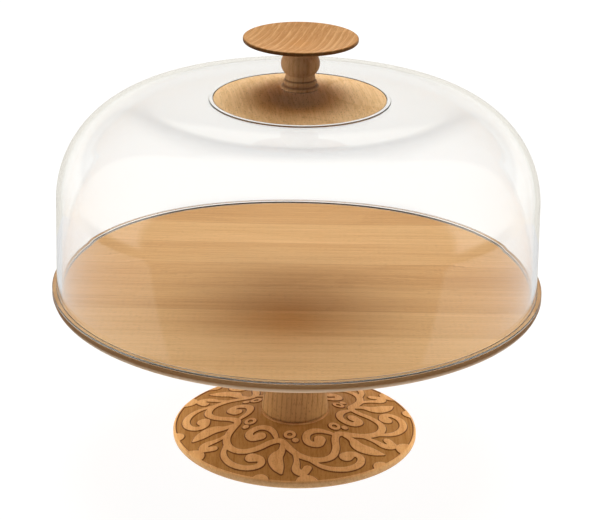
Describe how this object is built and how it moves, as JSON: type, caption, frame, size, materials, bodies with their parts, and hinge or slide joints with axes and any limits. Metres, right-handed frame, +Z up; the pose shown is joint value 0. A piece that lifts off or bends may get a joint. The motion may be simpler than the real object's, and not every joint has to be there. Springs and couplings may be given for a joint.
{
  "type": "cake stand with dome",
  "caption": "Footed wooden cake stand with a lift-off clear dome; a wooden disc and a turned saucer knob are let into the dome's crown.",
  "frame": {"origin": "on the table, under the centre of the foot", "axes": "+Z up along the axis of the turning; +X along the serving plate's grain"},
  "size_m": [0.32, 0.32, 0.2777],
  "materials": {
    "beech_plate": "oiled beech, long grain, satin",
    "beech_foot": "oiled beech, carved scroll relief with a darker ground",
    "beech_column": "turned beech, upright grain, satin",
    "beech_lid_disc": "turned beech with short dark flecks, satin",
    "beech_knob": "turned beech, satin",
    "beech_dowel": "plain fluted dowel beech",
    "clear_acrylic": "clear moulded acrylic, polished",
    "zinc_steel": "zinc plated",
    "stainless_steel": "stainless, turned",
    "brass_insert": "plain machined",
    "grip_pad": "soft, matt",
    "soft_washer": "milky, matt"
  },
  "bodies": {
    "stand": {"foot_pads": "grip_pad", "foot_disc": "beech_foot", "foot_joint_dowels": "beech_dowel", "column": "beech_column", "plate_joint_dowels": "beech_dowel", "serving_plate": "beech_plate", "plate_insert": "brass_insert", "tie_bolt": "zinc_steel", "bolt_washer": "zinc_steel"},
    "lid": {"dome_shell": "clear_acrylic", "lid_disc": "beech_lid_disc", "knob_baluster": "beech_knob", "knob_dowel": "beech_dowel", "knob_saucer": "beech_knob", "knob_insert": "brass_insert", "knob_screw": "stainless_steel", "knob_washer": "stainless_steel", "cushion_washer": "soft_washer"}
  },
  "joints": [
    {"name": "lid_lift", "type": "slide", "parent": "stand", "child": "lid", "axis": [0, 0, 1], "range_m": [0, 0.2]}
  ]
}
